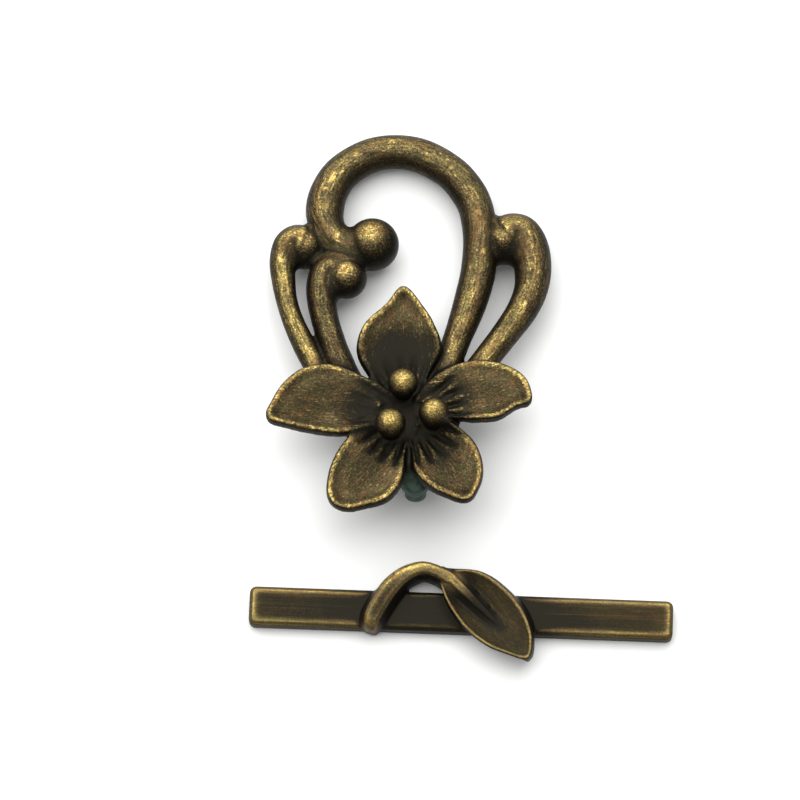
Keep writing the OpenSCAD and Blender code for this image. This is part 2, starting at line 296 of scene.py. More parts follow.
def ball_tree():
    """A ball of the half width stored on each point."""
    tree, source, output = new_tree(
        "cast ball", {"Segments": BALL_SEGMENTS, "Rings": BALL_RINGS})
    ball = add_node(tree, "GeometryNodeMeshUVSphere", inputs={
        "Segments": source.outputs["Segments"], "Rings": source.outputs["Rings"], "Radius": 1.0})
    width = add_node(tree, "GeometryNodeInputNamedAttribute", {"data_type": "FLOAT"},
                     {"Name": "half_width"})
    placed = add_node(tree, "GeometryNodeInstanceOnPoints", inputs={
        "Points": source.outputs["Geometry"], "Instance": ball, "Scale": width})
    finish_tree(tree, placed, output)
    return tree


rods, balls = rod_tree(), ball_tree()


def painted_end_light(v):
    """The painted highlight and painted shade on a rolled end at a point, by which way it faces."""
    return float(np.interp(v.normal.dot(LIT_SIDE_WAY), END_LIT_FACING, END_HIGHLIGHT_AND_SHADE))


def tendril(name, rows, rub=LOOP_RUB):
    """One tendril from its table, with painted highlight and painted shade near its end."""
    rows = np.array(rows) * (LOOP_LENGTH, LOOP_LENGTH, TENDRIL_WIDTH)
    to_end = np.hypot(*(rows[:, :2] - rows[-1, :2]).T)
    line = new_object(name, [(x, y, TENDRIL_HEIGHT) for x, y, _ in rows],
                      [(k, k + 1) for k in range(len(rows) - 1)], half_width=rows[:, 2],
                      near_end=np.maximum(0, 1 - to_end / END_REACH),
                      melt=np.interp(to_end, END_MELT, (1, 0)))
    made = grown(line, rods)
    near = [mark.value for mark in made.data.attributes["near_end"].data]
    return with_marks(
        made, "rub", [rub + share * painted_end_light(v) for share, v in zip(near, made.data.vertices)])


def rolled_ends():
    """The four balls, which the rods' metal has run round on the side that each rod comes from."""
    ends = np.array([(x, y) for x, y, _, _ in ROLLED_ENDS]) * LOOP_LENGTH
    made = grown(new_object(
        "rolled_ends", [(*end, TENDRIL_HEIGHT + row[3]) for end, row in zip(ends, ROLLED_ENDS)],
        half_width=[share * TENDRIL_WIDTH for _, _, share, _ in ROLLED_ENDS]), balls)
    backs = np.array([rows[BALL_ROW][:2]
                      for rows in (CROOK, RIGHT_OUTER, LEFT_OUTER, LEFT_INNER)]) * LOOP_LENGTH
    melt = []
    for v in made.data.vertices:
        spot = np.array(v.co[:2])
        k = int(np.argmin(np.hypot(*(ends - spot).T)))
        to_rod = (backs[k] - ends[k]) / np.hypot(*(backs[k] - ends[k]))
        melt.append(min(1.0, max(0.0, BALL_MELT + float((spot - ends[k]) @ to_rod))))
    with_marks(made, "melt", melt)
    # the balls' painted highlight towards the soft box and painted shade underneath go into their rub
    # mark
    return with_marks(made, "rub", [LOOP_RUB + painted_end_light(v) for v in made.data.vertices])


loop_parts = [
    tendril("crook", CROOK), tendril("right_outer", RIGHT_OUTER), tendril("left_outer", LEFT_OUTER),
    tendril("left_inner", LEFT_INNER, SHELTERED_RUB), rolled_ends(),
]
for part in loop_parts:
    marked(part, speckle=LOOP_SPECKLE)

# The flower
# Five cast petals round three stamen balls. Each petal is dished, with a beaded rim, a plain wall
# and grooves that fan out from its root. Petals overlap at their roots, where it is deepest.
PETAL_LENGTH = 11.15
PETAL_THICKNESS = 1.1
PETAL_THINNING = 0.15
PETAL_ROOT_HEIGHT = 0.55
PETAL_RISE = 1.95
PETAL_DISH = 0.45
PETAL_DRAFT = 0.06
PETAL_ROOT_WIDTH = 0.12
PETAL_BRUSH = (0.35, 1.0, 1.0)
EDGE_ROUND = 0.3
RIM_HEIGHT = 0.16
RIM_WIDTH = 0.5
RIM_INSET = 0.3
RIM_START = 0.4
RIM_FADE = 0.2
# the flower's heart is darker out to this radius, as patina in its hollow and painted shade
HEART_RADIUS = 5.0
HEART_FADE = 3.2
HEART_PATINA_AND_SHADE = 0.75
PETAL_SPECKLE = 1.4
# how much more each petal is rubbed than a flat face, and how far the dark heart, patina and painted
# shade, reaches over it
PETAL_WEAR = [(0.0, 8.1), (-0.05, 6.2), (-0.04, 5.8), (-0.02, 5.5), (-0.08, 5.5)]
# a petal is rubbed most just inside its rim, and this share of that less on the rim's crest
RIM_RUB = 0.28
RIM_RUB_INSET = 0.9
RIM_RUB_REACH = 0.7
RIM_RUB_CREST = 0.6
# turn, length as a share of PETAL_LENGTH, lift in millimetres, strength of the grooves, then half
# widths to the left and to the right as shares of the petal's own length, each WIDTH_STEP degrees
# further: the distance from its root is the angle's sine
PETALS = [
    (92.6, 0.975, 0.00, 0.7, (0.25, 0.370, 0.315, 0.135, 0.053), (0.14, 0.270, 0.220, 0.128, 0.056)),
    (183.4, 1.060, 0.20, 0.5, (0.10, 0.145, 0.122, 0.084, 0.055), (0.27, 0.375, 0.355, 0.235, 0.080)),
    (5.0, 0.915, 0.25, 1.0, (0.32, 0.385, 0.350, 0.265, 0.155), (0.06, 0.125, 0.145, 0.076, 0.062)),
    (235.1, 0.955, 0.00, 1.0, (0.16, 0.286, 0.290, 0.186, 0.098), (0.24, 0.268, 0.235, 0.166, 0.088)),
    (301.5, 0.860, 0.05, 1.0, (0.27, 0.328, 0.296, 0.206, 0.084), (0.14, 0.250, 0.225, 0.141, 0.073)),
]
WIDTH_STEP = 15
LEAST_WIDTH = 0.006
# a blade's rings, from the first angle on by a sweep that ends just short of the tip, in degrees
BLADE_RINGS = 90
BLADE_START = 3.0
BLADE_SWEEP = 86.4
BLADE_ACROSS = 33
# its wall at these shares of its height, and its crowned back at these shares of its half width,
# which is never less than BLADE_BACK_LEAST of the face's
BLADE_WALL = (0.4, 0.7)
BLADE_WALL_EASE = 1.25
BLADE_BACK = (1.0, 0.5, 0.0, -0.5, -1.0)
BLADE_BACK_LEAST = 0.4
BLADE_CROWN = 1.08
GROOVE_TURNS = (-37, -22, -8, 6, 20, 35)
GROOVE_END = 5.2
GROOVE_FADE = 1.3
GROOVE_DEPTH = 0.45
GROOVE_HALF_WIDTH = 0.2125
# the stamen balls are dark up to the first height, as patina at their bases and painted shade, and
# brighter from the second, as wear and a painted highlight
STAMEN_SHADE_HEIGHTS = (1.9, 3.0)
STAMEN_SHADE_AND_HIGHLIGHT = (-0.45, 0.22)
STAMEN_SPECKLE = 1.0
STAMENS = 3
STAMEN_BALL = 2.55
STAMEN_POST = 1.6
STAMEN_HEIGHT = 2.4
STAMEN_SPREAD = 2.12
STAMEN_TURN = 104


def between(a, b, c, d, t):
    """The smooth curve from b to c that leans on a and d, at t from 0 to 1."""
    return (b + (c - a) * t / 2 + (2 * a - 5 * b + 4 * c - d) * t * t / 2
            + (3 * b - a - 3 * c + d) * t * t * t / 2)


def half_width(widths, root, angle):
    """Half width of a petal or leaf at the sine of an angle along it, as a share of its length."""
    rows = (root,) + widths + (0.0, -widths[-1])
    spot = angle / WIDTH_STEP
    k = min(int(spot), len(widths))
    width = between(rows[max(k - 1, 0)], rows[k], rows[k + 1], rows[k + 2], spot - k)
    return max(LEAST_WIDTH, width)


def bump(distance, width):
    """A rounded bump, 1 at no distance and gone past two widths."""
    return np.exp(-(distance / width) ** 2)


def grained(made, stretch=(1.0, 1.0, 1.0)):
    """Stores an object's own coordinates, stretched, as the grain of its brush marks."""
    spots = np.empty(len(made.data.vertices) * 3)
    made.data.vertices.foreach_get("co", spots)
    spots = (spots.reshape(-1, 3) * stretch).ravel()
    made.data.attributes.new("grain", "FLOAT_VECTOR", "POINT").data.foreach_set("vector", spots)
    return made


def closed_skin(name, rings, **attributes):
    """Joins equal rings of points into a closed skin with flat ends."""
    count = len(rings[0])
    faces = []
    for i in range(len(rings) - 1):
        for k in range(count):
            a, b = i * count + k, i * count + (k + 1) % count
            faces.append((a, b, b + count, a + count))
    faces.append(tuple(range(count - 1, -1, -1)))
    faces.append(tuple(range((len(rings) - 1) * count, len(rings) * count)))
    return new_object(name, [p for ring in rings for p in ring], faces=faces, **attributes)


def blade(name, length, left, right, root, root_height, rise, dish, thickness, thinning,
          draft_left, draft_right, relief):
    """A petal or leaf along +X, with its relief added to the dished face."""
    sines, lefts, rights = [], [], []
    for k in range(BLADE_RINGS + 1):
        angle = BLADE_START + BLADE_SWEEP * k / BLADE_RINGS
        sines.append(math.sin(math.radians(angle)))
        lefts.append(half_width(left, root, angle) * length)
        rights.append(half_width(right, root, angle) * length)
    outline = np.array([(s * length, l) for s, l in zip(sines, lefts)]
                       + [(s * length, -r) for s, r in zip(sines, rights)])
    share = np.sin(np.linspace(-1, 1, BLADE_ACROSS) * math.pi / 2)
    rings, near_rim = [], []
    for s, l, r in zip(sines, lefts, rights):
        x, y = np.full(BLADE_ACROSS, s * length), np.where(share < 0, share * r, share * l)
        gap = np.min(np.hypot(x[:, None] - outline[:, 0], y[:, None] - outline[:, 1]), axis=1)
        z = root_height + rise * s + dish * (share ** 2 - 1) * math.sqrt(1 - s ** 4)
        z = z + relief(x, y, gap, s)
        z = z - EDGE_ROUND * (1 - np.sqrt(1 - (1 - np.minimum(gap, EDGE_ROUND) / EDGE_ROUND) ** 2))
        top, wall = root_height + rise * s, thickness * (1 - thinning * s * s)
        low_l = max(BLADE_BACK_LEAST * l, l + draft_left)
        low_r = max(BLADE_BACK_LEAST * r, r + draft_right)
        ring = list(zip(x, y, z))
        for down in BLADE_WALL:
            out = l + (low_l - l) * down * BLADE_WALL_EASE
            ring.append((s * length, out, top - wall * down))
        for side in BLADE_BACK:
            low = low_l if side > 0 else low_r
            depth = wall * (1 + (BLADE_CROWN - 1) * (1 - abs(side)))
            ring.append((s * length, low * side, top - depth))
        for down in reversed(BLADE_WALL):
            out = r + (low_r - r) * down * BLADE_WALL_EASE
            ring.append((s * length, -out, top - wall * down))
        rings.append(ring)
        near_rim += list(bump(gap - RIM_RUB_INSET, RIM_RUB_REACH)
                         - RIM_RUB_CREST * bump(gap, RIM_INSET))
        near_rim += [0.0] * (len(ring) - BLADE_ACROSS)
    return closed_skin(name, rings, near_rim=near_rim)


def petal(index, turn, share, lift, strength, left, right):
    """One petal, turned to its place, with its rim and grooves."""

    def relief(x, y, gap, s):
        turned, reach = np.degrees(np.arctan2(y, x)), np.hypot(x, y)
        fade = np.clip((GROOVE_END - reach) / GROOVE_FADE, 0, 1)
        depth = sum(bump((turned - t) * math.pi / 180 * reach, GROOVE_HALF_WIDTH)
                    for t in GROOVE_TURNS)
        rim = bump(gap - RIM_INSET, RIM_WIDTH) * min(1, max(0, (s - RIM_START) / RIM_FADE))
        return RIM_HEIGHT * rim - GROOVE_DEPTH * strength * fade * depth

    made = blade(f"petal_{index}", share * PETAL_LENGTH, left, right, PETAL_ROOT_WIDTH,
                 PETAL_ROOT_HEIGHT + lift, PETAL_RISE, PETAL_DISH, PETAL_THICKNESS, PETAL_THINNING,
                 PETAL_DRAFT, PETAL_DRAFT, relief)
    grained(made, PETAL_BRUSH)
    made.data.transform(Matrix.Rotation(math.radians(turn), 4, "Z"))
    return made


def rubbed_and_heart_shaded(made, amount, heart=0.0, radius=HEART_RADIUS):
    """Marks how much more a part is rubbed, more beside a rim and less in the heart: patina and
    painted shade.
    """
    reach = [math.hypot(v.co.x, v.co.y) for v in made.data.vertices]
    values = [amount - heart * min(1.0, max(0.0, (radius - r) / HEART_FADE)) for r in reach]
    if "near_rim" in made.data.attributes:
        near_rim = made.data.attributes["near_rim"].data
        values = [value + RIM_RUB * mark.value for value, mark in zip(values, near_rim)]
    return with_marks(made, "rub", values)


flower_parts = [marked(rubbed_and_heart_shaded(petal(k, *row), rub, HEART_PATINA_AND_SHADE, radius), speckle=PETAL_SPECKLE)
                for k, (row, (rub, radius)) in enumerate(zip(PETALS, PETAL_WEAR))]
stamen_turns = [math.radians(STAMEN_TURN + 360 / STAMENS * k) for k in range(STAMENS)]
stamen_places = [(STAMEN_SPREAD * math.cos(a), STAMEN_SPREAD * math.sin(a)) for a in stamen_turns]
stamens = grown(new_object("stamen_balls", [(x, y, STAMEN_HEIGHT) for x, y in stamen_places],
                           half_width=[STAMEN_BALL / 2] * STAMENS), balls)
# painted shade low on the stamen balls and a painted highlight on their tops, by height
with_marks(stamens, "rub",
           [np.interp(v.co.z, STAMEN_SHADE_HEIGHTS, STAMEN_SHADE_AND_HIGHLIGHT) for v in stamens.data.vertices])
flower_parts.append(marked(stamens, speckle=STAMEN_SPECKLE))
for k, (x, y) in enumerate(stamen_places):
    post = new_object(f"stamen_post_{k}", [(x, y, 0.0), (x, y, STAMEN_HEIGHT)], [(0, 1)],
                      half_width=[STAMEN_POST / 2] * 2)
    flower_parts.append(rubbed_and_heart_shaded(grown(post, rods), 0.0, HEART_PATINA_AND_SHADE))

# The boss and the bail
# A plain disc behind the flower holds petals and tendrils together. A lug with a round hole hangs
# from it, cast on, for the strand's end ring. Its tarnish shows green between the lower petals.
BOSS_RADIUS = 4.3
BOSS_TAPER = 0.4
BOSS_DEPTH = 1.25
BOSS_SINK = 0.1
BOSS_SIDES = 96
BOSS_RUB = -0.3
# the disc has a small lobe over the bail
LOBE_RADIUS = 1.2
LOBE_HEIGHT = 1.1
LOBE_OUT = 0.96
LOBE_SIDES = 48
BAIL_THICKNESS = 1.8
BAIL_ROUND = 0.6
BAIL_ROUND_STEP = 15
BAIL_RADIUS = 1.95
BAIL_SIDES = 96
BAIL_HOLE = 1.0
BAIL_ROOT = 1.2
BAIL_DROP = 1.25
BAIL_PLACE = (0.55, -4.4, TENDRIL_HEIGHT - BOSS_DEPTH - BAIL_DROP)


def circle(radius, count, x=0.0, y=0.0, z=0.0):
    """Points round a circle that lies flat."""
    turns = [2 * math.pi * k / count for k in range(count)]
    return [(x + radius * math.cos(a), y + radius * math.sin(a), z) for a in turns]


def hull(name, points):
    """The convex hull of some points."""
    made = new_object(name, points)
    shape = bmesh.new()
    shape.from_mesh(made.data)
    bmesh.ops.convex_hull(shape, input=shape.verts)
    inside = [v for v in shape.verts if not v.link_faces]
    bmesh.ops.delete(shape, geom=inside, context="VERTS")
    bmesh.ops.recalc_face_normals(shape, faces=shape.faces)
    shape.to_mesh(made.data)
    shape.free()
    return made


boss_back = TENDRIL_HEIGHT - BOSS_DEPTH
lobe_y = BAIL_PLACE[1] - LOBE_OUT
boss = hull("boss", circle(BOSS_RADIUS - BOSS_TAPER, BOSS_SIDES, z=boss_back)
            + circle(BOSS_RADIUS, BOSS_SIDES, z=PETAL_ROOT_HEIGHT - BOSS_SINK)
            + circle(LOBE_RADIUS, LOBE_SIDES, BAIL_PLACE[0], lobe_y, boss_back)
            + circle(LOBE_RADIUS, LOBE_SIDES, BAIL_PLACE[0], lobe_y, boss_back + LOBE_HEIGHT))


def bail():
    """The lug: a rounded plate across X with a hole, its neck set into the boss."""
    neck = BAIL_DROP + BAIL_ROOT
    outer, inner = [], []
    for y, z, _ in circle(1.0, BAIL_SIDES):
        if z > 0:
            square = max(abs(y), z)
            outer.append((BAIL_RADIUS * y / square, neck * z / square))
        else:
            outer.append((BAIL_RADIUS * y, BAIL_RADIUS * z))
        inner.append((BAIL_HOLE * y, BAIL_HOLE * z))
    half = BAIL_THICKNESS / 2
    rounded = []
    for turn in range(0, 180 + BAIL_ROUND_STEP, BAIL_ROUND_STEP):
        a = math.radians(turn)
        shrink = 1 - BAIL_ROUND / BAIL_RADIUS * (1 - math.sin(a))
        rounded.append(([(y * shrink, z * shrink) for y, z in outer], -half * math.cos(a)))
    loops = rounded + [(inner, half), (inner, -half)]
    points = [(BAIL_PLACE[0] + x, BAIL_PLACE[1] + y, BAIL_PLACE[2] + z)
              for loop, x in loops for y, z in loop]
    faces = []
    for i in range(len(loops)):
        a, b = i * BAIL_SIDES, (i + 1) % len(loops) * BAIL_SIDES
        for k in range(BAIL_SIDES):
            after = (k + 1) % BAIL_SIDES
            faces.append((a + k, a + after, b + after, b + k))
    return new_object("bail", points, faces=faces, green=[1.0] * len(points))


with_marks(boss, "green", [float(v.co.y < lobe_y) for v in boss.data.vertices])
flower_parts += [rubbed_and_heart_shaded(boss, BOSS_RUB, HEART_PATINA_AND_SHADE), bail()]

# The ring half
# Flower and loop are one casting in zinc alloy, plated with brass, blackened and then rubbed back,
# so that its high spots shine and its hollows stay dark. It rests on its bail and the loop's arc.
RING_PLACE = (-4.3, -2.65)
# the spacing of the fused skin's points, whose fillets are then softened
RING_SPACING = 0.145
SOFTEN_SHARE = 0.5
SOFTEN_STEPS = 5
# a blur of this many steps reaches one spacing, and four times as many reach two
STEPS_PER_SPACING = 2
EDGE_REACH = 0.25
RELIEF_REACH = 0.45
# the marks are blurred by so many steps, and metal runs into a crease in so many passes
MARK_STEPS = 8
MELT_STEPS = 30
MELT_PASSES = 12
# verdigris, metal run into creases, what is rubbed off by hand together with painted highlight and
# shade, and how much speckle breaks that up
SCALAR_MARKS = ("green", "melt", "rub", "speckle")
# patina to bare brass, by how much is rubbed off
PATINA_BLACK = "#23211b"
PATINA_BROWN = "#372f1e"
WORN_BROWN = "#504734"
WORN_GOLD = "#82703f"
WORN_BRIGHT = "#c2a865"
WEAR_STOPS = ((0.25, PATINA_BROWN), (0.5, WORN_BROWN), (0.8, WORN_GOLD))
VERDIGRIS = "#12382b"
TINT_RUSSET = "#664a2d"
TINT_OLIVE = "#4c4a26"
# each pattern's size in millimetres, its detail and its roughness. Brush marks, scratches and pits
# are a few hundredths wide on real metal, and are drawn as coarse as they need to be to show.
NOISES = {
    "speckle": (0.16, 4.0, 0.7), "brush": (0.16, 2.0, 0.6), "scratch": (0.12, 1.0, 0.6),
    "patch": (2.4, 3.0, 0.6), "tint": (0.55, 3.0, 0.6), "verdigris": (0.6, 3.0, 0.6),
    "pit": (0.12, 3.0, 0.6), "lump": (0.24, 3.0, 0.6),
}
NOISE_MIDDLE = 0.5
PATCH_AMOUNT = 0.35
SCRATCH_STRETCH = 0.1
SCRATCH_TURNS = (20, 75, 140)
PIT_SHARE = 0.5
BUMP_STRENGTH = 0.35
BUMP_DEPTH = 0.05
# the share of the patina that is off a flat face
FLAT_WEAR = 0.22
# each ramp's start and end, and its result there
RAMPS = {
    "relief": (0.0, 0.075, FLAT_WEAR, 0.6), "edge": (0.01, 0.06, 0.0, 0.12),
    "crease": (-0.03, 0.0, -0.35, 0.0), "filled": (0.1, 0.45, 0.0, -0.6),
    # high spots wear only where they face up, and hand rubbing counts less on flanks: the darker
    # flanks are partly patina and partly painted shade
    "up_wear_and_flank_shade": (0.42, 0.97, 0.0, 1.0), "rub": (0.0, 0.97, 0.6, 1.0),
    # speckle is strong on rods and balls, and weak on flat faces and thin rims
    "speckle": (FLAT_WEAR, 0.45, 0.8, 1.5), "rim": (0.02, 0.07, 1.0, 0.7),
    "brush": (FLAT_WEAR, 0.45, 0.25, 0.9), "scratch": (0.64, 0.74, 0.0, 0.2),
    "russet": (0.5, 0.65, 0.0, 0.9), "olive": (0.5, 0.35, 0.0, 0.6),
    "verdigris": (0.35, 0.6, 0.5, 1.0), "metallic": (0.0, 1.0, 1.0, 0.0),
    "roughness": (0.0, 1.0, 0.55, 0.42),
}


def mark_tree():
    """Marks a casting with what its patina follows.

    edge and relief are how far each point stands out over the skin averaged over a near and a wider
    reach, in millimetres. filled is how much metal has run into a hollow there. top is how far it
    faces up. The other marks come from the parts.
    """
    tree, source, output = new_tree("patina marks", {
        "Mark Steps": MARK_STEPS, "Melt Steps": MELT_STEPS, "Edge Steps": 1, "Relief Steps": 1})
    tree.interface.new_socket("Parts", in_out="INPUT", socket_type="NodeSocketObject")
    place = add_node(tree, "GeometryNodeInputPosition")
    normal = add_node(tree, "GeometryNodeInputNormal")
    parts = add_node(tree, "GeometryNodeObjectInfo", inputs={"Object": source.outputs["Parts"]})
    skin = source.outputs["Geometry"]
    for name, kind in [("grain", "FLOAT_VECTOR")] + [(key, "FLOAT") for key in SCALAR_MARKS]:
        mark = add_node(tree, "GeometryNodeInputNamedAttribute", {"data_type": kind},
                        {"Name": name})
        found = add_node(tree, "GeometryNodeSampleNearestSurface", {"data_type": kind}, {
            "Mesh": parts.outputs["Geometry"], "Value": mark, "Sample Position": place})
        if name in SCALAR_MARKS:
            found = add_node(tree, "GeometryNodeBlurAttribute", {"data_type": kind},
                             {"Value": found, "Iterations": source.outputs["Mark Steps"]})
        skin = add_node(tree, "GeometryNodeStoreNamedAttribute", {"data_type": kind},
                        {"Geometry": skin, "Name": name, "Value": found})
    skin = add_node(tree, "GeometryNodeStoreNamedAttribute", {"data_type": "FLOAT_VECTOR"},
                    {"Geometry": skin, "Name": "unmelted", "Value": place})
    melt = add_node(tree, "GeometryNodeInputNamedAttribute", {"data_type": "FLOAT"},
                    {"Name": "melt"})
    mean = add_node(tree, "GeometryNodeBlurAttribute", {"data_type": "FLOAT_VECTOR"},
                    {"Value": place, "Iterations": source.outputs["Melt Steps"]})
    gap = add_node(tree, "ShaderNodeVectorMath", {"operation": "SUBTRACT"}, {0: mean, 1: place})
    deep = add_node(tree, "ShaderNodeVectorMath", {"operation": "DOT_PRODUCT"}, {0: gap, 1: normal})
    fill = add_node(tree, "ShaderNodeMath", {"operation": "MAXIMUM"},
                    {0: deep.outputs["Value"], 1: 0.0})
    held = add_node(tree, "ShaderNodeMath", {"operation": "MULTIPLY"}, {0: fill, 1: melt})
    shift = add_node(tree, "ShaderNodeVectorMath", {"operation": "SCALE"},
                     {0: normal, "Scale": held})
    for _ in range(MELT_PASSES):
        skin = add_node(tree, "GeometryNodeSetPosition", inputs={"Geometry": skin, "Offset": shift})
    before = add_node(tree, "GeometryNodeInputNamedAttribute", {"data_type": "FLOAT_VECTOR"},
                      {"Name": "unmelted"})
    risen = add_node(tree, "ShaderNodeVectorMath", {"operation": "DISTANCE"}, {0: place, 1: before})
    facing = add_node(tree, "ShaderNodeSeparateXYZ", inputs={0: normal})
    forms = {"filled": risen.outputs["Value"], "top": facing.outputs["Z"]}
    for name, steps in (("edge", "Edge Steps"), ("relief", "Relief Steps")):
        mean = add_node(tree, "GeometryNodeBlurAttribute", {"data_type": "FLOAT_VECTOR"},
                        {"Value": place, "Iterations": source.outputs[steps]})
        gap = add_node(tree, "ShaderNodeVectorMath", {"operation": "SUBTRACT"}, {0: place, 1: mean})
        out = add_node(tree, "ShaderNodeVectorMath", {"operation": "DOT_PRODUCT"},
                       {0: gap, 1: normal})
        forms[name] = out.outputs["Value"]
    for name, value in forms.items():
        skin = add_node(tree, "GeometryNodeStoreNamedAttribute", {"data_type": "FLOAT"},
                        {"Geometry": skin, "Name": name, "Value": value})
    finish_tree(tree, skin, output)
    return tree


patina_marks = mark_tree()


def blur_steps(reach, spacing):
    """How many blur steps average a skin over a reach."""
    return round((reach / spacing) ** 2 * STEPS_PER_SPACING)


def cast(name, parts, spacing, material):
    """Fuses parts into one closed casting with small fillets, and marks it for its patina."""
    for part in parts:
        if "grain" not in part.data.attributes:
            grained(part)
        for key in SCALAR_MARKS:
            if key not in part.data.attributes:
                marked(part, **{key: 0.0})
    with bpy.context.temp_override(active_object=parts[0], selected_editable_objects=parts):
        bpy.ops.object.join()
    source = parts[0]
    made = bpy.data.objects.new(name, source.data.copy())
    bpy.context.scene.collection.objects.link(made)
    fuse = made.modifiers.new("fuse", "REMESH")
    fuse.mode, fuse.voxel_size, fuse.use_smooth_shade = "VOXEL", spacing, True
    soften = made.modifiers.new("soften", "SMOOTH")
    soften.factor, soften.iterations = SOFTEN_SHARE, SOFTEN_STEPS
    made.data = bpy.data.meshes.new_from_object(
        made.evaluated_get(bpy.context.evaluated_depsgraph_get()))
    made.modifiers.clear()
    grown(made, patina_marks, Parts=source, Material=material, **{
        "Edge Steps": blur_steps(EDGE_REACH, spacing),
        "Relief Steps": blur_steps(RELIEF_REACH, spacing)})
    bpy.data.objects.remove(source)
    return made


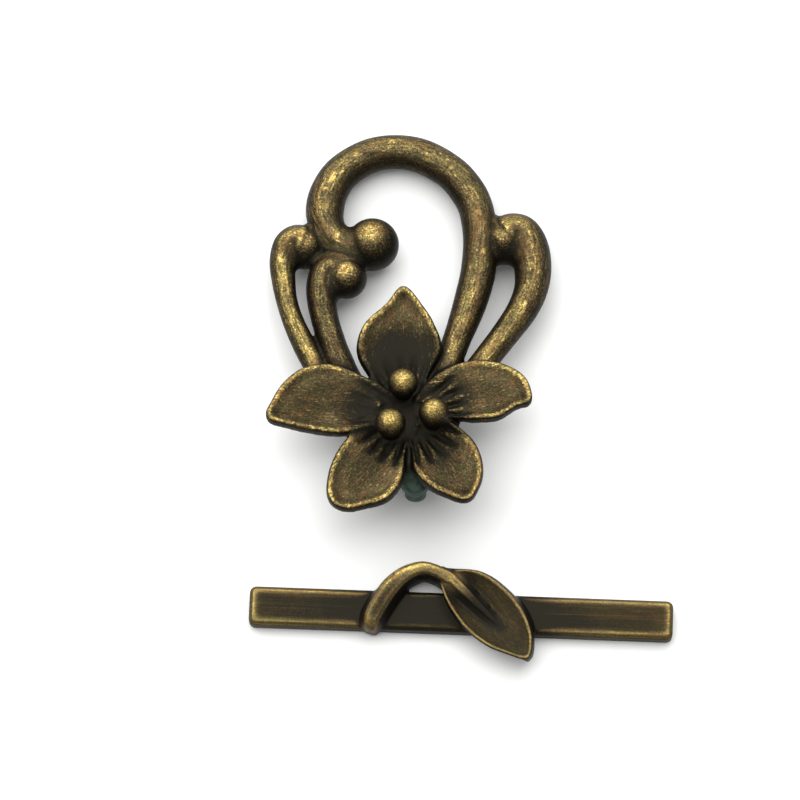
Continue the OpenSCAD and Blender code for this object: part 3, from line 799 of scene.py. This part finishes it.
def antique_bronze(name):
    """Brass plate under a dark patina that is rubbed through on high spots, with painted highlight
    and shade.
    """
    material, tree, shader = new_material(name)
    plus, minus, times = [{"operation": kind} for kind in ("ADD", "SUBTRACT", "MULTIPLY")]
    smooth = {"interpolation_type": "SMOOTHSTEP"}
    grit = {key: {"Scale": 1 / size, "Detail": detail, "Roughness": roughness}
            for key, (size, detail, roughness) in NOISES.items()}
    ramp = {key: dict(zip(("From Min", "From Max", "To Min", "To Max"), row))
            for key, row in RAMPS.items()}
    place = add_node(tree, "ShaderNodeVectorMath", {"operation": "SCALE"}, {
        0: add_node(tree, "ShaderNodeTexCoord").outputs["Object"], "Scale": 1 / MM})
    grain = add_node(tree, "ShaderNodeAttribute", {"attribute_name": "grain"}).outputs["Vector"]
    mark = {key: add_node(tree, "ShaderNodeAttribute", {"attribute_name": key}).outputs["Fac"]
            for key in ("edge", "relief", "filled", "top", "rub", "speckle", "green")}
    noise = {key: add_node(tree, "ShaderNodeTexNoise", inputs={"Vector": vector, **grit[key]})
             for vector, keys in ((place, ("speckle", "patch", "verdigris", "pit")),
                                  (grain, ("brush", "tint", "lump"))) for key in keys}
    form = {key: add_node(tree, "ShaderNodeMapRange", smooth, {"Value": mark[source], **ramp[key]})
            for source, keys in (("relief", ("relief",)), ("edge", ("edge", "crease", "rim")),
                                 ("filled", ("filled",)), ("top", ("up_wear_and_flank_shade", "rub")))
            for key in keys}
    # how much of the patina is rubbed off, with painted highlight and shade, before the speckle
    # breaks it up
    high = add_node(tree, "ShaderNodeMath", plus, {0: form["relief"], 1: form["edge"]})
    low = add_node(tree, "ShaderNodeMath", plus, {0: form["crease"], 1: form["filled"]})
    # wear counts by how far a point faces up, so flanks keep a dark tone that is partly patina and
    # partly painted shade
    by_form_and_flank_shade = add_node(tree, "ShaderNodeMath", times, {0: high, 1: form["up_wear_and_flank_shade"]})
    by_hand_and_painted_light = add_node(tree, "ShaderNodeMath", times, {0: mark["rub"], 1: form["rub"]})
    both = add_node(tree, "ShaderNodeMath", plus, {0: by_form_and_flank_shade, 1: by_hand_and_painted_light})
    rubbed_off_and_painted_light = add_node(tree, "ShaderNodeMath", plus, {0: both, 1: low})
    # what breaks it up: speckle, brush marks, patches and scratches
    speckled = add_node(tree, "ShaderNodeMapRange", smooth, {"Value": high, **ramp["speckle"]})
    speckled = add_node(tree, "ShaderNodeMath", times, {0: speckled, 1: form["rim"]})
    brushed = add_node(tree, "ShaderNodeMapRange", smooth, {"Value": high, **ramp["brush"]})
    broken = 0.0
    for key, amount in (("speckle", speckled), ("brush", brushed), ("patch", PATCH_AMOUNT)):
        centred = add_node(tree, "ShaderNodeMath", minus, {0: noise[key], 1: NOISE_MIDDLE})
        scaled = add_node(tree, "ShaderNodeMath", times, {0: centred, 1: amount})
        broken = add_node(tree, "ShaderNodeMath", plus, {0: broken, 1: scaled})
    for turn in SCRATCH_TURNS:
        turned = add_node(tree, "ShaderNodeMapping", inputs={
            "Vector": grain, "Rotation": (0, 0, math.radians(turn)),
            "Scale": (SCRATCH_STRETCH, 1, 1)})
        lines = add_node(tree, "ShaderNodeTexNoise", inputs={"Vector": turned, **grit["scratch"]})
        cuts = add_node(tree, "ShaderNodeMapRange", smooth, {"Value": lines, **ramp["scratch"]})
        broken = add_node(tree, "ShaderNodeMath", plus, {0: broken, 1: cuts})
    broken = add_node(tree, "ShaderNodeMath", times, {0: broken, 1: mark["speckle"]})
    wear_and_painted_light = add_node(tree, "ShaderNodeMath", {"use_clamp": True, **plus}, {0: rubbed_off_and_painted_light, 1: broken})
    colours = add_node(tree, "ShaderNodeValToRGB", inputs={0: wear_and_painted_light})
    stops = colours.color_ramp
    for spot, colour in WEAR_STOPS:
        stops.elements.new(spot).color = linear(colour)
    stops.elements[0].color = linear(PATINA_BLACK)
    stops.elements[-1].color = linear(WORN_BRIGHT)
    # the brass has russet and olive patches, and verdigris covers the bail; the Mix node's sockets
    # 6 and 7 are its two colours, and 2 is their mix
    metal = colours.outputs["Color"]
    for key, tint in (("russet", TINT_RUSSET), ("olive", TINT_OLIVE)):
        patches = add_node(tree, "ShaderNodeMapRange", smooth,
                           {"Value": noise["tint"], **ramp[key]})
        share = add_node(tree, "ShaderNodeMath", times, {0: patches, 1: wear_and_painted_light})
        metal = add_node(tree, "ShaderNodeMix", {"data_type": "RGBA"},
                         {"Factor": share, 6: metal, 7: linear(tint)}).outputs[2]
    patches = add_node(tree, "ShaderNodeMapRange", smooth,
                       {"Value": noise["verdigris"], **ramp["verdigris"]})
    green = add_node(tree, "ShaderNodeMath", times, {0: mark["green"], 1: patches})
    colour = add_node(tree, "ShaderNodeMix", {"data_type": "RGBA"},
                      {"Factor": green, 6: metal, 7: linear(VERDIGRIS)}).outputs[2]
    tree.links.new(colour, shader.inputs["Base Color"])
    for source, key, socket in ((green, "metallic", "Metallic"), (wear_and_painted_light, "roughness", "Roughness")):
        sheen = add_node(tree, "ShaderNodeMapRange", smooth, {"Value": source, **ramp[key]})
        tree.links.new(sheen.outputs[0], shader.inputs[socket])
    pits = add_node(tree, "ShaderNodeMath", times, {0: noise["pit"], 1: PIT_SHARE})
    lumps = add_node(tree, "ShaderNodeMath", plus, {0: pits, 1: noise["lump"]})
    relief = add_node(tree, "ShaderNodeBump", inputs={
        "Strength": BUMP_STRENGTH, "Distance": BUMP_DEPTH * MM, "Height": lumps})
    tree.links.new(relief.outputs[0], shader.inputs["Normal"])
    return material


bronze = antique_bronze("antique_bronze_plated_zinc")
ring = cast("flower_ring_casting", loop_parts + flower_parts, RING_SPACING, bronze)
# the tilt at which the bail's round end and the loop's arc both touch the card
arc_drop = CROOK_TOP[2] * TENDRIL_WIDTH
reach = Vector((CROOK_TOP[1] * LOOP_LENGTH - BAIL_PLACE[1], TENDRIL_HEIGHT - BAIL_PLACE[2]))
rest_tilt = math.atan2(reach.y, reach.x) + math.asin((BAIL_RADIUS - arc_drop) / reach.length)
rest_height = (BAIL_RADIUS + BAIL_PLACE[1] * math.sin(rest_tilt)
               - BAIL_PLACE[2] * math.cos(rest_tilt))
ring.data.transform(
    Matrix.Scale(MM, 4) @ Matrix.Translation((RING_PLACE[0], RING_PLACE[1], rest_height))
    @ Matrix.Rotation(-rest_tilt, 4, "X"))
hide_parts("flower_ring")
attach(ring, "root")

# The bar
# A flat cast bar with a narrow bevel round its face. It is brushed along its length before the
# patina, which is rubbed through on the bevels and the ends.
BAR_LENGTH = 35.0
BAR_WIDTH = 3.3
BAR_THICKNESS = 1.4
BAR_BEVEL = 0.3
BAR_CORNER = 0.25
BAR_CORNER_SIDES = 24
BAR_BRUSH = (0.08, 1.0, 1.0)
BAR_SPECKLE = 0.5
# a face whose normal rises this much is the bar's top
FACE_UP = 0.99
# how much more the bar is rubbed at these distances in from its outline
BAR_RUB_GAPS = (0.0, 0.3, 0.75)
BAR_RUB = (0.28, 0.14, -0.19)
# at these distances from its middle, the share of that rub, and what is added
BAR_CUTS = (6.0, 8.5, 12.0, 14.5, 16.4)
BAR_SHARES = (0.1, 1.0, 1.0, 1.0, 1.0)
BAR_MORE = (-0.4, -0.1, 0.0, 0.0, 0.03)

bar_inset = BAR_BEVEL + BAR_CORNER
bar_points = []
for sx in (-1, 1):
    for sy in (-1, 1):
        x, y = sx * (BAR_LENGTH / 2 - bar_inset), sy * (BAR_WIDTH / 2 - bar_inset)
        for z in (0.0, BAR_THICKNESS - BAR_BEVEL):
            bar_points += circle(bar_inset, BAR_CORNER_SIDES, x, y, z)
        bar_points += circle(BAR_CORNER, BAR_CORNER_SIDES, x, y, BAR_THICKNESS)
bar = hull("bar", bar_points)
shape = bmesh.new()
shape.from_mesh(bar.data)
top = [face for face in shape.faces if face.normal.z > FACE_UP]
bmesh.ops.inset_region(shape, faces=top, thickness=BAR_RUB_GAPS[-1] - BAR_BEVEL)
for cut in BAR_CUTS:
    for x in (-cut, cut):
        bmesh.ops.bisect_plane(shape, geom=shape.verts[:] + shape.edges[:] + shape.faces[:],
                               plane_co=(x, 0.0, 0.0), plane_no=(1.0, 0.0, 0.0))
shape.to_mesh(bar.data)
shape.free()
bar_rub = []
for v in bar.data.vertices:
    out = abs(v.co.x)
    gap = min(BAR_LENGTH / 2 - out, BAR_WIDTH / 2 - abs(v.co.y))
    bar_rub.append(np.interp(gap, BAR_RUB_GAPS, BAR_RUB) * np.interp(out, BAR_CUTS, BAR_SHARES)
                   + np.interp(out, BAR_CUTS, BAR_MORE))
with_marks(bar, "rub", bar_rub)
bar_parts = [marked(grained(bar, BAR_BRUSH), speckle=BAR_SPECKLE)]

# The stem and the leaf
# The stem is a flat-topped ribbon that rises from the bar and arches over, which leaves a hole for
# the strand's end ring. It runs on as the midrib of a dished leaf that grows out of the bar.
STEM_SPAN = 7.5
STEM_HEIGHT = 2.75
STEM_HALF_WIDTH = 0.84
# along and across the bar as shares of STEM_SPAN, then a share of STEM_HALF_WIDTH
STEM = [
    (-0.990, -0.258, 0.30), (-0.985, -0.23, 0.66), (-0.97, -0.11, 0.95), (-0.88, 0.07, 1.00),
    (-0.78, 0.23, 1.00), (-0.65, 0.36, 0.90), (-0.52, 0.43, 0.80), (-0.41, 0.45, 0.74),
    (-0.27, 0.41, 0.72), (-0.13, 0.32, 0.66),
]
# share of the half width, drop from the top, and how much more it is rubbed
STEM_SECTION = [
    (1, 0.55, -0.1), (0.85, 0.2, 0.35), (0.5, 0, -0.35), (-0.5, 0, -0.1), (-0.85, 0.2, 0.3),
    (-1, 0.55, 0.2),
]
# the section's two feet in the bar: share of the half width, height, and rub as above
STEM_FEET = ((1.2, 0.35, -0.3), (-1.1, 0.35, 0.0))
STEM_STEPS = 8
STEM_SPECKLE = 0.5
# the near end of the stem is rounded and rubbed over this reach
STEM_END_ROUND = 1.0
STEM_END_RUB = 0.7
# at these shares of the way, the outer edge of the arch is rubbed this much more
STEM_ARCH_STATIONS = (0.35, 0.65, 0.85)
STEM_ARCH_RUB = (0.0, 0.9, 0.45)
LEAF_ROOT = (-0.304, 0.46)
LEAF_TURN = -43
LEAF_LENGTH = 10.9
LEAF_LEFT = (0.215, 0.262, 0.235, 0.163, 0.068)
LEAF_RIGHT = (0.133, 0.180, 0.158, 0.092, 0.042)
LEAF_ROOT_WIDTH = 0.02
LEAF_DISH = 0.5
LEAF_LEAN = 0.3
LEAF_SINK = 0.1
LEAF_RIM = 0.12
LEAF_RIM_INSET = 0.15
LEAF_RIM_WIDTH = 0.28
LEAF_ROOT_DROP = 0.7
LEAF_ROOT_END = 0.16
LEAF_RUB = -0.07
LEAF_SPECKLE = 0.6
LEAF_MELT = 0.3
VEIN_OFFSET = 0.3
MIDRIB_HALF_WIDTH = 0.78
MIDRIB_STATIONS = (0.03, 0.08, 0.15, 0.24, 0.34, 0.47, 0.6, 0.7)
# up to this share of the leaf, the midrib widens from its root's share and climbs out of the stem
MIDRIB_START = 0.14
MIDRIB_ROOT_SHARE = 0.4
MIDRIB_SINK = 0.1
MIDRIB_CLIMB = 0.15
MIDRIB_FALL = 1.0
MIDRIB_TAPER = 0.8
MIDRIB_RUB_STATIONS = (0.22, 0.34, 0.5)
MIDRIB_RUB = (0.12, -0.45, -0.9)
MIDRIB_SECTION = [(-1, -1.08), (-1, -0.31), (-0.45, 0), (0.45, 0), (1, -0.31), (1, -1.08)]
# the grooves deepen between the first two shares of the leaf, and end between the last two
VEIN_GROOVE_STATIONS = (0.2, 0.2 + 1 / 12, 0.7 - 1 / 8, 0.7)
VEIN_GROOVE_SPREAD = 1.15
VEIN_GROOVE_WIDTH = 0.27
VEIN_GROOVE_DEPTH = 0.32


def arched_stem():
    """The stem from its table, with its section turned to the line's heading."""
    rows = [(x * STEM_SPAN, y * STEM_SPAN, w * STEM_HALF_WIDTH) for x, y, w in STEM]
    padded = [rows[0]] + rows + [rows[-1]]
    line = []
    for i in range(len(rows) - 1):
        for k in range(STEM_STEPS):
            line.append([between(*(p[axis] for p in padded[i:i + 4]), k / STEM_STEPS)
                         for axis in range(3)])
    line.append(list(rows[-1]))
    section = [STEM_FEET[0], *((w, STEM_HEIGHT - drop, amount) for w, drop, amount in STEM_SECTION),
               STEM_FEET[1]]
    section_rub = np.array([amount for _, _, amount in section])
    outer = np.array([(1 - w) / 2 for w, _, _ in section]).clip(0, 1)
    rings, rub = [], []
    for i, (x, y, half) in enumerate(line):
        before, after = line[max(i - 1, 0)], line[min(i + 1, len(line) - 1)]
        ahead = Vector((after[0] - before[0], after[1] - before[1])).normalized()
        near = max(0.0, 1 - math.hypot(x - line[0][0], y - line[0][1]) / STEM_END_ROUND)
        sunk = STEM_END_ROUND * (1 - math.sqrt(1 - near ** 2))
        rings.append([(x + ahead.y * half * w, y - ahead.x * half * w, z - sunk * z / STEM_HEIGHT)
                      for w, z, _ in section])
        arch_rub = np.interp(i / len(line), STEM_ARCH_STATIONS, STEM_ARCH_RUB)
        rub += list(section_rub + arch_rub * outer + STEM_END_RUB * near)
    return closed_skin("stem", rings, rub=rub)


def leaf_relief(x, y, gap, s):
    """The leaf's raised rim, and the two grooves that close in along its midrib."""
    rim = (LEAF_RIM * bump(gap - LEAF_RIM_INSET, LEAF_RIM_WIDTH)
           - LEAF_ROOT_DROP * max(0, 1 - s / LEAF_ROOT_END))
    spread = VEIN_GROOVE_SPREAD * (1 - s)
    fade = np.interp(s, VEIN_GROOVE_STATIONS, (0, 1, 1, 0))
    grooves = (bump(y - VEIN_OFFSET - spread, VEIN_GROOVE_WIDTH)
               + bump(y - VEIN_OFFSET + spread, VEIN_GROOVE_WIDTH))
    return rim - VEIN_GROOVE_DEPTH * fade * grooves


def tapered_midrib():
    """The midrib, which thins and falls towards the leaf's tip and is rubbed less there."""
    rings, rub = [], []
    for s in MIDRIB_STATIONS:
        out = min(1, s / MIDRIB_START)
        share = MIDRIB_ROOT_SHARE + (1 - MIDRIB_ROOT_SHARE) * out
        half = MIDRIB_HALF_WIDTH * (1 - MIDRIB_TAPER * s)
        top = STEM_HEIGHT - MIDRIB_SINK + MIDRIB_CLIMB * out - MIDRIB_FALL * s * s
        rings.append([(s * LEAF_LENGTH, (VEIN_OFFSET + w * half) * share, top + drop)
                      for w, drop in MIDRIB_SECTION])
        rub += [np.interp(s, MIDRIB_RUB_STATIONS, MIDRIB_RUB)] * len(MIDRIB_SECTION)
    return closed_skin("midrib", rings, rub=rub)


leaf = blade("leaf", LEAF_LENGTH, LEAF_LEFT, LEAF_RIGHT, LEAF_ROOT_WIDTH, STEM_HEIGHT, 0.0,
             LEAF_DISH, STEM_HEIGHT - BAR_THICKNESS + LEAF_SINK, 0.0, LEAF_LEAN, -LEAF_LEAN,
             leaf_relief)
midrib = tapered_midrib()
marked(leaf, rub=LEAF_RUB)
for part in (leaf, midrib):
    grained(marked(part, speckle=LEAF_SPECKLE), PETAL_BRUSH)
    part.data.transform(
        Matrix.Translation((LEAF_ROOT[0] * STEM_SPAN, LEAF_ROOT[1] * STEM_SPAN, 0.0))
        @ Matrix.Rotation(math.radians(LEAF_TURN), 4, "Z"))
bar_parts += [marked(arched_stem(), melt=1.0, speckle=STEM_SPECKLE),
              marked(leaf, melt=LEAF_MELT), marked(midrib, melt=1.0)]

# The bar half
# Bar, stem and leaf are one casting with the same finish. It lies flat on the bar's back.
BAR_PLACE = (0.0, -18.57)
BAR_TURN = -2.15
BAR_SPACING = 0.085

bar_half = cast("leaf_bar_casting", bar_parts, BAR_SPACING, bronze)
bar_half.data.transform(
    Matrix.Scale(MM, 4) @ Matrix.Translation((BAR_PLACE[0], BAR_PLACE[1], 0.0))
    @ Matrix.Rotation(math.radians(BAR_TURN), 4, "Z"))
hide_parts("leaf_bar")
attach(bar_half, "root")
